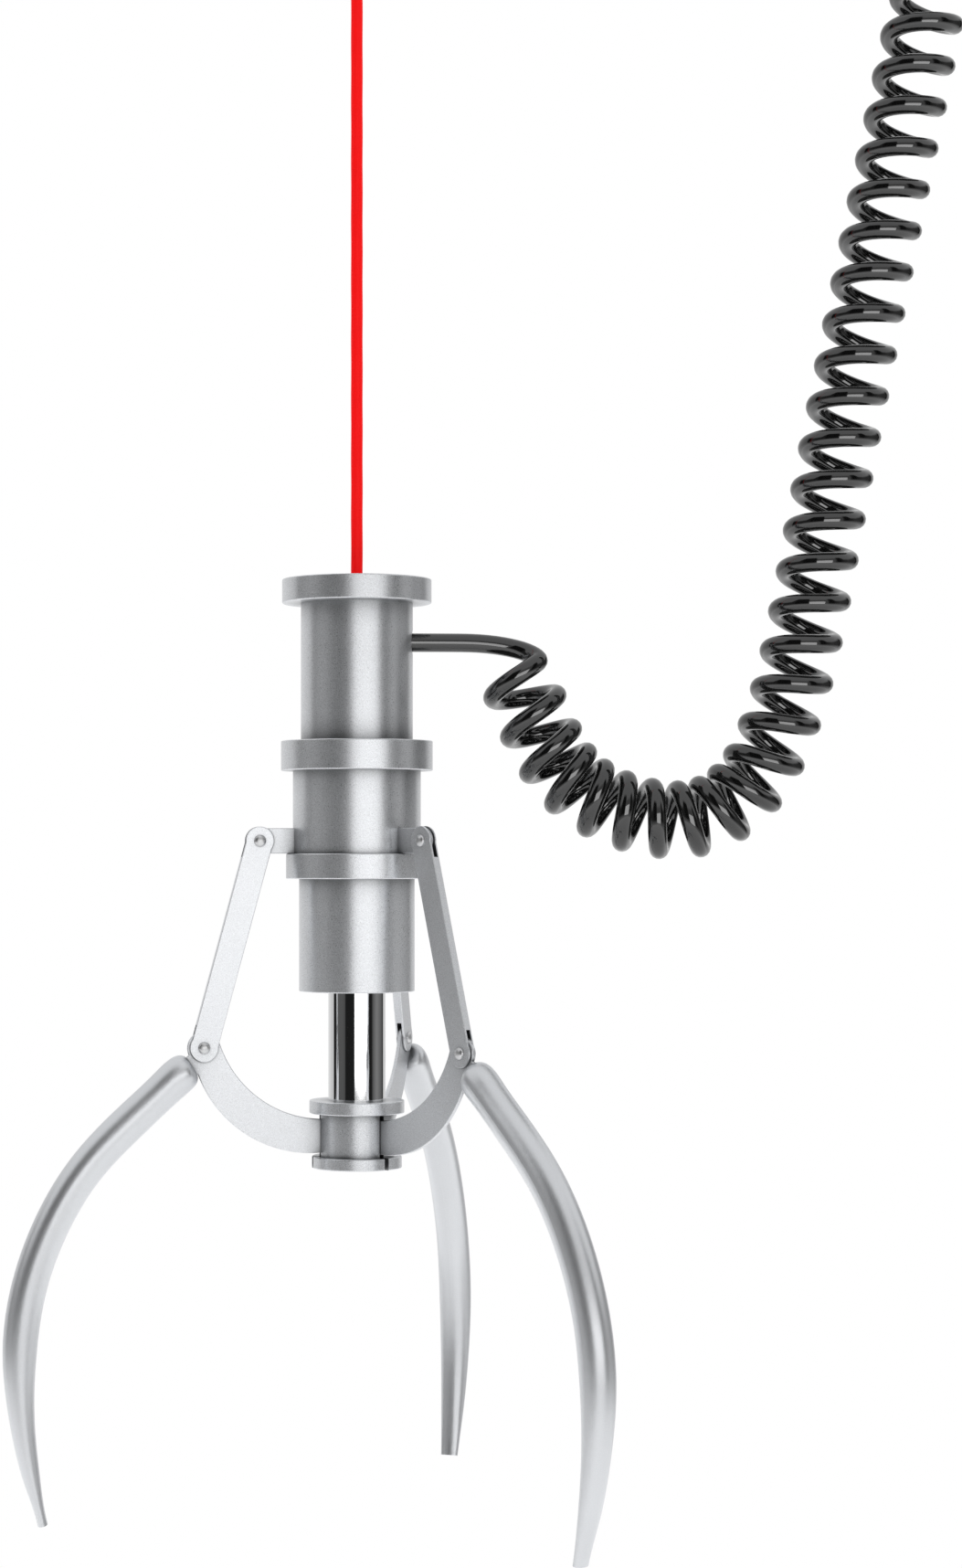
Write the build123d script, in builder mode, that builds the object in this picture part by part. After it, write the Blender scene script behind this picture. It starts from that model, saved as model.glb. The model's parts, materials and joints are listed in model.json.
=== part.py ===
"""Pneumatic three-claw gripper, hung by a wire rope and fed by a spiral air hose.

Millimetres, +Z up. The origin is the centre of the bore in the hanger eye.
"""

import os
from math import acos, atan2, cos, degrees, hypot, pi, radians, sin, tan

from build123d import *

os.makedirs("parts", exist_ok=True)

# ---------------------------------------------------------------- driving dimensions

# Barrel, from the top cap down to the rod end: outer radii and lengths
CAP_TOP = -300.0
CAP_RADIUS, CAP_THICK = 32.7, 10.4
UPPER_RADIUS, UPPER_LENGTH = 24.5, 60.2
COLLAR_RADIUS, COLLAR_LENGTH = 33.2, 13.0
MIDDLE_RADIUS, MIDDLE_LENGTH = 28.0, 36.2
RING_RADIUS, RING_LENGTH = 31.0, 11.0
LOWER_RADIUS, LOWER_LENGTH = 25.3, 49.2
ROD_RADIUS, ROD_SHOWN = 12.5, 47.6
HUB_FLANGE_RADIUS, HUB_FLANGE_THICK = 20.8, 5.6
HUB_RADIUS, HUB_LENGTH = 16.4, 18.8
HUB_CAP_RADIUS, HUB_CAP_THICK = 19.7, 5.2
SOCKET_DEPTH = 5.4
EDGE = 0.5
FIT = 0.05

# Claw linkage: three fingers, pivots as (radius from the axis, height)
AZIMUTHS = [-48.8 + 120 * finger for finger in range(3)]
TRAVEL = 42.0
LINK_PIVOT = (43.2, -414.3)
ARM_PIVOT = (67.7, -504.1)
HUB_PIVOT = (13.2, -542.8)
PLATE = 1.8
SIDE_PLAY = 0.15
LINK_THICK, LINK_WIDTH, LINK_HEAD = 3.9, 11.6, 6.2
RIVET_RADIUS, RIVET_HEAD_RADIUS, RIVET_HEAD = 1.5, 2.6, 1.3
HUB_PIN_RADIUS, HUB_PIN_LENGTH = 1.6, 12.0
ARM_EYE = 7.2

# Rope and hose
ROPE_RADIUS = 2.6
EYE_RADIUS, EYE_BORE, EYE_THICK = 10.5, 5.25, 7.0
EYE_SLEEVE_RADIUS, ROPE_GRIP, ROPE_CORE = 4.9, 22.0, 0.4
FERRULE_RADIUS = 5.6
HOSE_RADIUS, HOSE_BORE = 4.1, 2.6
COIL_RADIUS = 18.1
PORT_HEIGHT = CAP_TOP - 27.5
SOCKET_RADIUS, SOCKET_COLLAR = 5.45, 7.0

# Cylinder
BORE_RADIUS = 17.5
LINER_RADIUS = 18.8
SPIGOT_RADIUS = 7.0

# ---------------------------------------------------------------- heights that follow

CAP_UNDER = CAP_TOP - CAP_THICK
COLLAR_TOP = CAP_UNDER - UPPER_LENGTH
COLLAR_UNDER = COLLAR_TOP - COLLAR_LENGTH
RING_TOP = COLLAR_UNDER - MIDDLE_LENGTH
RING_UNDER = RING_TOP - RING_LENGTH
BARREL_END = RING_UNDER - LOWER_LENGTH
ROD_END = BARREL_END - ROD_SHOWN
HUB_TOP = ROD_END - HUB_FLANGE_THICK
HUB_UNDER = HUB_TOP - HUB_LENGTH
HUB_CAP_UNDER = HUB_UNDER - HUB_CAP_THICK

UPPER_END = COLLAR_TOP - SOCKET_DEPTH
MIDDLE_START = COLLAR_UNDER + SOCKET_DEPTH
MIDDLE_END = RING_TOP - SOCKET_DEPTH
LOWER_START = RING_UNDER + SOCKET_DEPTH
HEAD_TOP = UPPER_END + 8
HEAD_UNDER = UPPER_END - 4
GLAND_UNDER = BARREL_END + 2.4
GLAND_TOP = BARREL_END + 18
GLAND_SPIGOT_TOP = GLAND_TOP + 4
LINER_HOLES = GLAND_SPIGOT_TOP + 2.5
PISTON_UNDER = GLAND_SPIGOT_TOP + 5
PISTON_TOP = PISTON_UNDER + 16
ROD_TOP = PISTON_TOP + 9


# ---------------------------------------------------------------- helpers

def save(piece, name):
    """Label a finished piece and write it to its own STEP file."""
    piece.part.label = name
    export_step(piece.part, f"parts/{name}.step")


def side_plane(azimuth):
    """Upright plane through the axis: x runs outward at the azimuth, y runs up."""
    turn = radians(azimuth)
    return Plane(origin=(0, 0, 0), x_dir=(cos(turn), sin(turn), 0), z_dir=(sin(turn), -cos(turn), 0))


def ring(outer, inner, top, bottom):
    """A plain ring about the axis, for seals, bushes and liners."""
    with BuildPart() as piece:
        with BuildSketch(Plane.XY.offset(bottom)):
            Circle(outer)
            Circle(inner, mode=Mode.SUBTRACT)
        extrude(amount=top - bottom)
    return piece


def o_ring(centre_radius, cord_radius, height):
    """A round-section seal about the axis."""
    with BuildPart() as piece:
        with BuildSketch(Plane.XZ):
            with Locations((centre_radius, height)):
                Circle(cord_radius)
        revolve(axis=Axis.Z)
    return piece


def turned(points):
    """A turned piece: an outline of (radius, height) points spun about the axis."""
    with BuildPart() as piece:
        with BuildSketch(Plane.XZ):
            with BuildLine():
                Polyline(*points, close=True)
            make_face()
        revolve(axis=Axis.Z)
    return piece


def rim_edges(piece, least_radius):
    """The circular edges of a turned piece that are at least so large."""
    circles = piece.edges().filter_by(GeomType.CIRCLE)
    return circles.filter_by(lambda edge: edge.radius > least_radius)


# ---------------------------------------------------------------- linkage sums

LINK_LENGTH = hypot(ARM_PIVOT[0] - LINK_PIVOT[0], ARM_PIVOT[1] - LINK_PIVOT[1])
ARM_REACH = hypot(ARM_PIVOT[0] - HUB_PIVOT[0], ARM_PIVOT[1] - HUB_PIVOT[1])
LINK_LEAN = atan2(ARM_PIVOT[1] - LINK_PIVOT[1], ARM_PIVOT[0] - LINK_PIVOT[0])
ARM_LEAN = atan2(ARM_PIVOT[1] - HUB_PIVOT[1], ARM_PIVOT[0] - HUB_PIVOT[0])


def true_swings(lift):
    """How far the closed linkage turns each link and each arm when the rod lifts, in radians."""
    out = HUB_PIVOT[0] - LINK_PIVOT[0]
    up = HUB_PIVOT[1] + lift - LINK_PIVOT[1]
    apart = hypot(out, up)
    corner = acos((LINK_LENGTH**2 + apart**2 - ARM_REACH**2) / (2 * LINK_LENGTH * apart))
    link_angle = atan2(up, out) + corner
    joint_out = LINK_LENGTH * cos(link_angle) - out
    joint_up = LINK_LENGTH * sin(link_angle) - up
    return link_angle - LINK_LEAN, atan2(joint_up, joint_out) - ARM_LEAN


# The joints turn in proportion to the lift, so these shares of the true rates split the error
LINK_SHARE, ARM_SHARE = 0.875, 1.042
LINK_RATE = true_swings(TRAVEL)[0] / TRAVEL * LINK_SHARE
ARM_RATE = true_swings(TRAVEL)[1] / TRAVEL * ARM_SHARE


def pin_in_arm(lift):
    """Where the hub pin stands in the arm's own rest frame when the joints turn at their rates."""
    link_angle = LINK_LEAN + LINK_RATE * lift
    joint_out = LINK_PIVOT[0] + LINK_LENGTH * cos(link_angle)
    joint_up = LINK_PIVOT[1] + LINK_LENGTH * sin(link_angle)
    out = HUB_PIVOT[0] - joint_out
    up = HUB_PIVOT[1] + lift - joint_up
    back = -ARM_RATE * lift
    return (
        ARM_PIVOT[0] + out * cos(back) - up * sin(back),
        ARM_PIVOT[1] + out * sin(back) + up * cos(back),
    )


STEPS = 24
PIN_TRACK = [pin_in_arm(TRAVEL * step / STEPS) for step in range(STEPS + 1)]
PIN_LEFT, PIN_RIGHT = min(p[0] for p in PIN_TRACK), max(p[0] for p in PIN_TRACK)
PIN_LOW, PIN_HIGH = min(p[1] for p in PIN_TRACK), max(p[1] for p in PIN_TRACK)
print(f"link {LINK_RATE * 1000:.4f} rad/m, arm {ARM_RATE * 1000:.4f} rad/m")
print(f"hub pin wanders {PIN_RIGHT - PIN_LEFT:.2f} across, {PIN_HIGH - PIN_LOW:.2f} up")

# ---------------------------------------------------------------- hanger, rope and top cap

ROPE_SLEEVE = -38.0
FERRULE_TOP, FERRULE_UNDER = CAP_UNDER + 2, CAP_UNDER - 12
SPIGOT_UNDER = CAP_UNDER - 8
TUBE_BORE = 21.0
SCREW_CIRCLE = (TUBE_BORE + UPPER_RADIUS) / 2
VENT_RADIUS, VENT_WALL, VENT_PLACE = 2.0, 0.8, (0, 12.5)
CAP_GROOVE = (3.4, 2.4)
CAP_SCREW_RADIUS, CAP_SCREW_HEAD, CAP_SCREW_LENGTH = 1.45, 2.85, 17.0
CAP_SOCKET_RADIUS, CAP_SOCKET_DEPTH = 1.1, 1.8

with BuildPart() as eye_terminal:
    with BuildSketch(Plane.XZ):
        Circle(EYE_RADIUS)
        with Locations((0, -12)):
            Trapezoid(12, 9, 80, rotation=180)
    extrude(amount=EYE_THICK / 2, both=True)
    fillet(eye_terminal.edges().filter_by(GeomType.CIRCLE), 1.6)
    with BuildSketch(Plane.XY.offset(ROPE_SLEEVE)):
        Circle(EYE_SLEEVE_RADIUS)
    extrude(amount=-ROPE_SLEEVE - EYE_RADIUS - 2.5)
    fillet(eye_terminal.edges().group_by(Axis.Z)[0], 1.2)
    with BuildSketch(Plane.XZ):
        Circle(EYE_BORE)
    extrude(amount=EYE_THICK, both=True, mode=Mode.SUBTRACT)
    chamfer(eye_terminal.faces().filter_by(GeomType.CYLINDER).sort_by(Axis.Z)[-1].edges(), 0.4)
    with BuildSketch(Plane.XY.offset(ROPE_SLEEVE)):
        Circle(ROPE_RADIUS + FIT)
    extrude(amount=ROPE_GRIP, mode=Mode.SUBTRACT)
save(eye_terminal, "eye_terminal")

hoist_rope = ring(ROPE_RADIUS, ROPE_CORE, ROPE_SLEEVE + ROPE_GRIP - 0.1, FERRULE_UNDER)
save(hoist_rope, "hoist_rope")

with BuildPart() as rope_ferrule:
    with BuildSketch(Plane.XY.offset(FERRULE_UNDER)):
        Circle(FERRULE_RADIUS)
        Circle(ROPE_RADIUS + FIT, mode=Mode.SUBTRACT)
    extrude(amount=FERRULE_TOP - FERRULE_UNDER)
    chamfer(rim_edges(rope_ferrule, 5), 0.6)
save(rope_ferrule, "rope_ferrule")

with BuildPart() as top_cap:
    with BuildSketch(Plane.XY.offset(CAP_UNDER)):
        Circle(CAP_RADIUS)
    extrude(amount=CAP_THICK)
    fillet(top_cap.edges(), EDGE)
    with BuildSketch(Plane.XY.offset(SPIGOT_UNDER)):
        Circle(TUBE_BORE - FIT)
    extrude(amount=CAP_UNDER - SPIGOT_UNDER)
    chamfer(top_cap.edges().group_by(Axis.Z)[0], EDGE)
    with BuildSketch(Plane.XZ):
        with Locations((TUBE_BORE, CAP_UNDER - 4)):
            Rectangle(*CAP_GROOVE)
    revolve(axis=Axis.Z, mode=Mode.SUBTRACT)
    with BuildSketch(Plane.XY.offset(SPIGOT_UNDER)):
        Circle(FERRULE_RADIUS + 0.4)
    extrude(amount=FERRULE_TOP - SPIGOT_UNDER, mode=Mode.SUBTRACT)
    with BuildSketch(Plane.XY.offset(CAP_UNDER)):
        Circle(ROPE_RADIUS + 0.3)
        with Locations(VENT_PLACE):
            Circle(VENT_RADIUS + FIT)
    extrude(amount=CAP_THICK, mode=Mode.SUBTRACT)
    with BuildSketch(Plane.XY.offset(SPIGOT_UNDER)):
        with Locations(VENT_PLACE):
            Circle(VENT_RADIUS + FIT)
    extrude(amount=CAP_UNDER - SPIGOT_UNDER, mode=Mode.SUBTRACT)
    with Locations(Plane.XY.offset(CAP_TOP)):
        with PolarLocations(SCREW_CIRCLE, 4, start_angle=45):
            CounterSinkHole(CAP_SCREW_RADIUS + 0.15, CAP_SCREW_HEAD + 0.15, depth=CAP_THICK + 2)
save(top_cap, "top_cap")

with BuildPart() as cap_screws:
    with BuildSketch(Plane.XY.offset(CAP_TOP - 0.1)):
        with PolarLocations(SCREW_CIRCLE, 4, start_angle=45):
            Circle(CAP_SCREW_HEAD)
    extrude(amount=CAP_SCREW_RADIUS - CAP_SCREW_HEAD + 0.05, taper=45)
    with BuildSketch(Plane.XY.offset(CAP_TOP - 1.2)):
        with PolarLocations(SCREW_CIRCLE, 4, start_angle=45):
            Circle(CAP_SCREW_RADIUS)
    extrude(amount=-CAP_SCREW_LENGTH)
    with BuildSketch(Plane.XY.offset(CAP_TOP)):
        with PolarLocations(SCREW_CIRCLE, 4, start_angle=45):
            RegularPolygon(CAP_SOCKET_RADIUS, 6)
    extrude(amount=-CAP_SOCKET_DEPTH, mode=Mode.SUBTRACT)
save(cap_screws, "cap_screws")

cap_seal = o_ring(TUBE_BORE - 0.85, 0.8, CAP_UNDER - 4)
save(cap_seal, "cap_seal")

# ---------------------------------------------------------------- barrel tubes and collars

with BuildPart() as upper_tube:
    with BuildSketch(Plane.XY.offset(UPPER_END)):
        Circle(UPPER_RADIUS)
        Circle(TUBE_BORE, mode=Mode.SUBTRACT)
    extrude(amount=CAP_UNDER - UPPER_END)
    with BuildSketch(Plane.YZ):
        with Locations((0, PORT_HEIGHT)):
            Circle(SOCKET_RADIUS + FIT)
    extrude(amount=UPPER_RADIUS + 1, mode=Mode.SUBTRACT)
    with BuildSketch(Plane.XY.offset(CAP_UNDER)):
        with PolarLocations(SCREW_CIRCLE, 4, start_angle=45):
            Circle(CAP_SCREW_RADIUS + 0.02)
    extrude(amount=CAP_THICK - CAP_SCREW_LENGTH - 2.4, mode=Mode.SUBTRACT)
save(upper_tube, "upper_tube")

WEB_RADIUS = 20.0
joint_collar = turned([
    (WEB_RADIUS, UPPER_END), (UPPER_RADIUS + FIT, UPPER_END),
    (UPPER_RADIUS + FIT, COLLAR_TOP), (COLLAR_RADIUS, COLLAR_TOP),
    (COLLAR_RADIUS, COLLAR_UNDER), (MIDDLE_RADIUS + FIT, COLLAR_UNDER),
    (MIDDLE_RADIUS + FIT, MIDDLE_START), (WEB_RADIUS, MIDDLE_START),
])
with joint_collar:
    fillet(rim_edges(joint_collar, COLLAR_RADIUS - 1), EDGE)
save(joint_collar, "joint_collar")

MIDDLE_BORE = 24.0
ARM_ROOT = 24.6
LINK_ARM_HALF = LINK_PIVOT[1] - RING_TOP

with BuildPart() as middle_tube:
    with BuildSketch(Plane.XY.offset(MIDDLE_END)):
        Circle(MIDDLE_RADIUS)
        Circle(MIDDLE_BORE, mode=Mode.SUBTRACT)
    extrude(amount=MIDDLE_START - MIDDLE_END)
    for azimuth in AZIMUTHS:
        with BuildSketch(side_plane(azimuth)):
            with Locations(((ARM_ROOT + LINK_PIVOT[0]) / 2, LINK_PIVOT[1])):
                Rectangle(LINK_PIVOT[0] - ARM_ROOT, 2 * LINK_ARM_HALF)
        extrude(amount=PLATE / 2, both=True, mode=Mode.SUBTRACT)
save(middle_tube, "middle_tube")

lower_collar = turned([
    (WEB_RADIUS + 1.5, MIDDLE_END), (MIDDLE_RADIUS + FIT, MIDDLE_END),
    (MIDDLE_RADIUS + FIT, RING_TOP), (RING_RADIUS, RING_TOP),
    (RING_RADIUS, RING_UNDER), (LOWER_RADIUS + FIT, RING_UNDER),
    (LOWER_RADIUS + FIT, LOWER_START), (WEB_RADIUS + 1.5, LOWER_START),
])
with lower_collar:
    fillet(rim_edges(lower_collar, RING_RADIUS - 1), EDGE)
save(lower_collar, "lower_collar")

LOWER_BORE = 21.5
CLIP_RADIUS, CLIP_UNDER, CLIP_THICK = 22.6, BARREL_END + 1.0, 1.2
lower_tube = turned([
    (LOWER_BORE, LOWER_START), (LOWER_RADIUS, LOWER_START), (LOWER_RADIUS, BARREL_END),
    (LOWER_BORE, BARREL_END), (LOWER_BORE, CLIP_UNDER - FIT),
    (CLIP_RADIUS + FIT, CLIP_UNDER - FIT), (CLIP_RADIUS + FIT, CLIP_UNDER + CLIP_THICK + FIT),
    (LOWER_BORE, CLIP_UNDER + CLIP_THICK + FIT),
])
with lower_tube:
    fillet(rim_edges(lower_tube, LOWER_RADIUS - 0.1).group_by(Axis.Z)[0], 0.4)
save(lower_tube, "lower_tube")

# ---------------------------------------------------------------- cylinder inside the barrel

HEAD_HOLES, HEAD_HOLE_RADIUS = 19.4, 0.9
HEAD_GROOVE = (2.6, 1.8)
with BuildPart() as cylinder_head:
    with BuildSketch(Plane.XY.offset(UPPER_END)):
        Circle(TUBE_BORE - FIT)
    extrude(amount=HEAD_TOP - UPPER_END)
    with BuildSketch(Plane.XY.offset(HEAD_UNDER)):
        Circle(BORE_RADIUS - FIT)
    extrude(amount=UPPER_END - HEAD_UNDER)
    with BuildSketch(Plane.XZ):
        with Locations((BORE_RADIUS, HEAD_UNDER + 2)):
            Rectangle(*HEAD_GROOVE)
    revolve(axis=Axis.Z, mode=Mode.SUBTRACT)
    with BuildSketch(Plane.XY.offset(HEAD_TOP)):
        with PolarLocations(HEAD_HOLES, 8):
            Circle(HEAD_HOLE_RADIUS)
        with Locations(VENT_PLACE):
            Circle(VENT_RADIUS + FIT)
    extrude(amount=HEAD_UNDER - HEAD_TOP, mode=Mode.SUBTRACT)
save(cylinder_head, "cylinder_head")

head_seal = o_ring(BORE_RADIUS - 0.65, 0.6, HEAD_UNDER + 2)
save(head_seal, "head_seal")

with BuildPart() as vent_tube:
    with BuildSketch(Plane.XY.offset(HEAD_UNDER)):
        with Locations(VENT_PLACE):
            Circle(VENT_RADIUS)
            Circle(VENT_RADIUS - VENT_WALL, mode=Mode.SUBTRACT)
    extrude(amount=CAP_TOP - HEAD_UNDER)
save(vent_tube, "vent_tube")

LINER_PORT = (6.0, 2.5)
with BuildPart() as cylinder_liner:
    with BuildSketch(Plane.XY.offset(GLAND_TOP)):
        Circle(LINER_RADIUS)
        Circle(BORE_RADIUS, mode=Mode.SUBTRACT)
    extrude(amount=UPPER_END - GLAND_TOP)
    with BuildSketch(Plane.XY.offset(LINER_HOLES)):
        with PolarLocations(BORE_RADIUS, 6):
            Rectangle(*LINER_PORT)
    extrude(amount=1.2, both=True, mode=Mode.SUBTRACT)
save(cylinder_liner, "cylinder_liner")

BUSH_RADIUS, SEAL_RADIUS = 14.6, 16.2
gland = turned([
    (BUSH_RADIUS, GLAND_SPIGOT_TOP), (BORE_RADIUS - FIT, GLAND_SPIGOT_TOP),
    (BORE_RADIUS - FIT, GLAND_TOP), (LOWER_BORE - FIT, GLAND_TOP),
    (LOWER_BORE - FIT, GLAND_TOP - 3), (LOWER_BORE - 1.5, GLAND_TOP - 3),
    (LOWER_BORE - 1.5, GLAND_TOP - 5.2), (LOWER_BORE - FIT, GLAND_TOP - 5.2),
    (LOWER_BORE - FIT, GLAND_UNDER), (SEAL_RADIUS, GLAND_UNDER),
    (SEAL_RADIUS, GLAND_UNDER + 3.6), (ROD_RADIUS + 0.6, GLAND_UNDER + 3.6),
    (ROD_RADIUS + 0.6, GLAND_UNDER + 4.6), (SEAL_RADIUS, GLAND_UNDER + 4.6),
    (SEAL_RADIUS, GLAND_UNDER + 8.6), (BUSH_RADIUS, GLAND_UNDER + 8.6),
])
with gland:
    chamfer(rim_edges(gland, LOWER_BORE - 0.2).group_by(Axis.Z)[0], 0.4)
save(gland, "gland")

rod_bush = ring(BUSH_RADIUS - 0.02, ROD_RADIUS + FIT, GLAND_SPIGOT_TOP, GLAND_UNDER + 8.7)
save(rod_bush, "rod_bush")

rod_seal = turned([
    (ROD_RADIUS + FIT, GLAND_UNDER + 8.5), (ROD_RADIUS + 1.2, GLAND_UNDER + 7.0),
    (SEAL_RADIUS - 1.2, GLAND_UNDER + 7.0), (SEAL_RADIUS - 0.05, GLAND_UNDER + 8.5),
    (SEAL_RADIUS - 0.05, GLAND_UNDER + 4.7), (ROD_RADIUS + 0.5, GLAND_UNDER + 4.7),
])
save(rod_seal, "rod_seal")

rod_wiper = turned([
    (ROD_RADIUS + 1.4, GLAND_UNDER + 3.5), (SEAL_RADIUS - 0.05, GLAND_UNDER + 3.5),
    (SEAL_RADIUS - 0.05, GLAND_UNDER + 0.1), (ROD_RADIUS + 1.2, GLAND_UNDER + 0.1),
    (ROD_RADIUS + FIT, GLAND_UNDER - 1.2), (ROD_RADIUS + FIT, GLAND_UNDER - 0.4),
])
save(rod_wiper, "rod_wiper")

gland_seal = o_ring(LOWER_BORE - 0.75, 0.7, GLAND_TOP - 4.1)
save(gland_seal, "gland_seal")

CLIP_WIDTH, CLIP_GAP, CLIP_LUG, CLIP_EYE = 2.6, 9.0, 2.3, 0.9
CLIP_EYES = [(side * (CLIP_GAP / 2 + 1.1), CLIP_RADIUS - 3.4) for side in (-1, 1)]
with BuildPart() as gland_clip:
    with BuildSketch(Plane.XY.offset(CLIP_UNDER)):
        Circle(CLIP_RADIUS)
        Circle(CLIP_RADIUS - CLIP_WIDTH, mode=Mode.SUBTRACT)
        with Locations((0, CLIP_RADIUS)):
            Rectangle(CLIP_GAP, 8, mode=Mode.SUBTRACT)
        with Locations(*CLIP_EYES):
            Circle(CLIP_LUG)
            Circle(CLIP_EYE, mode=Mode.SUBTRACT)
    extrude(amount=CLIP_THICK)
save(gland_clip, "gland_clip")

SPRING_WIRE, SPRING_MEAN, SPRING_COILS = 1.25, 14.6, 5.5
SPRING_HEIGHT = HEAD_UNDER - PISTON_TOP - 2 * SPRING_WIRE - 0.2
with BuildPart() as return_spring:
    with BuildLine(Plane.XY.offset(PISTON_TOP + SPRING_WIRE + 0.1)) as spring_line:
        Helix(pitch=SPRING_HEIGHT / SPRING_COILS, height=SPRING_HEIGHT, radius=SPRING_MEAN)
    with BuildSketch(Plane(origin=spring_line.line @ 0, z_dir=spring_line.line % 0)):
        Circle(SPRING_WIRE)
    sweep(path=spring_line.line, is_frenet=True)
save(return_spring, "return_spring")

# ---------------------------------------------------------------- piston, rod and hub

SEAL_AT, WEAR_AT = PISTON_UNDER + 4, PISTON_UNDER + 11
piston = turned([
    (SPIGOT_RADIUS, PISTON_UNDER), (BORE_RADIUS - 0.1, PISTON_UNDER),
    (BORE_RADIUS - 0.1, SEAL_AT - 1.8), (BORE_RADIUS - 3.6, SEAL_AT - 1.8),
    (BORE_RADIUS - 3.6, SEAL_AT + 1.8), (BORE_RADIUS - 0.1, SEAL_AT + 1.8),
    (BORE_RADIUS - 0.1, WEAR_AT - 2.6), (BORE_RADIUS - 1.8, WEAR_AT - 2.6),
    (BORE_RADIUS - 1.8, WEAR_AT + 2.6), (BORE_RADIUS - 0.1, WEAR_AT + 2.6),
    (BORE_RADIUS - 0.1, PISTON_TOP), (SPIGOT_RADIUS, PISTON_TOP),
])
save(piston, "piston")

piston_seal = ring(BORE_RADIUS - 0.05, BORE_RADIUS - 3.5, SEAL_AT + 1.7, SEAL_AT - 1.7)
save(piston_seal, "piston_seal")

wear_ring = ring(BORE_RADIUS - 0.05, BORE_RADIUS - 1.75, WEAR_AT + 2.5, WEAR_AT - 2.5)
save(wear_ring, "wear_ring")

HUB_BOLT_RADIUS = 2.0
ROD_SPIGOT = 4.0
with BuildPart() as piston_rod:
    with BuildSketch(Plane.XY.offset(ROD_END)):
        Circle(ROD_RADIUS)
    extrude(amount=PISTON_UNDER - ROD_END)
    chamfer(piston_rod.edges().group_by(Axis.Z)[-1], 0.8)
    with BuildSketch(Plane.XY.offset(PISTON_UNDER)):
        Circle(SPIGOT_RADIUS - 0.02)
    extrude(amount=ROD_TOP - PISTON_UNDER)
    chamfer(piston_rod.edges().group_by(Axis.Z)[-1], 0.8)
    with BuildSketch(Plane.XY.offset(ROD_END)):
        Circle(SPIGOT_RADIUS)
    extrude(amount=-ROD_SPIGOT)
    with BuildSketch(Plane.XY.offset(ROD_END - ROD_SPIGOT)):
        Circle(HUB_BOLT_RADIUS + 0.02)
    extrude(amount=22, mode=Mode.SUBTRACT)
save(piston_rod, "piston_rod")

NUT_APOTHEM, NUT_THICK = 11.0, 7.0
with BuildPart() as piston_nut:
    with BuildSketch(Plane.XY.offset(PISTON_TOP)):
        RegularPolygon(NUT_APOTHEM, 6, major_radius=False)
        Circle(SPIGOT_RADIUS, mode=Mode.SUBTRACT)
    extrude(amount=NUT_THICK)
save(piston_nut, "piston_nut")

SLOT_WIDTH = PLATE + 2 * SIDE_PLAY + 0.3
HUB_CORE = 3.6
HUB_SCREW_CIRCLE = 11.2
HUB_SCREW_RADIUS, HUB_SCREW_HEAD, HUB_SCREW_SINK = 1.25, 2.3, 1.8
HUB_BOLT_HEAD, HUB_BOLT_SINK = 3.7, 3.0
SCREW_ANGLE = AZIMUTHS[0] + 60
with BuildPart() as hub:
    with BuildSketch(Plane.XY.offset(HUB_TOP)):
        Circle(HUB_FLANGE_RADIUS)
    extrude(amount=HUB_FLANGE_THICK)
    fillet(hub.edges(), EDGE)
    with BuildSketch(Plane.XY.offset(HUB_UNDER)):
        Circle(HUB_RADIUS)
    extrude(amount=HUB_LENGTH)
    with BuildSketch(Plane.XY.offset(HUB_UNDER)):
        for azimuth in AZIMUTHS:
            with PolarLocations((HUB_CORE + HUB_RADIUS + 1) / 2, 1, start_angle=azimuth):
                Rectangle(HUB_RADIUS + 1 - HUB_CORE, SLOT_WIDTH)
    extrude(amount=HUB_LENGTH, mode=Mode.SUBTRACT)
    with BuildSketch(Plane.XY.offset(HUB_UNDER)):
        for azimuth in AZIMUTHS:
            with PolarLocations(HUB_PIVOT[0], 1, start_angle=azimuth):
                Rectangle(2 * HUB_PIN_RADIUS, HUB_PIN_LENGTH)
    extrude(amount=HUB_PIVOT[1] - HUB_UNDER, mode=Mode.SUBTRACT)
    for azimuth in AZIMUTHS:
        with BuildSketch(side_plane(azimuth)):
            with Locations(HUB_PIVOT):
                Circle(HUB_PIN_RADIUS)
        extrude(amount=HUB_PIN_LENGTH / 2, both=True, mode=Mode.SUBTRACT)
    with BuildSketch(Plane.XY.offset(ROD_END)):
        Circle(SPIGOT_RADIUS + FIT)
    extrude(amount=-ROD_SPIGOT, mode=Mode.SUBTRACT)
    with BuildSketch(Plane.XY.offset(HUB_UNDER)):
        Circle(HUB_BOLT_RADIUS + 0.1)
        with PolarLocations(HUB_SCREW_CIRCLE, 3, start_angle=SCREW_ANGLE):
            Circle(HUB_SCREW_RADIUS + 0.02)
    extrude(amount=9, mode=Mode.SUBTRACT)
    with BuildSketch(Plane.XY.offset(HUB_UNDER)):
        Circle(HUB_BOLT_RADIUS + 0.1)
    extrude(amount=HUB_LENGTH + HUB_FLANGE_THICK, mode=Mode.SUBTRACT)
save(hub, "hub")

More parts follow.
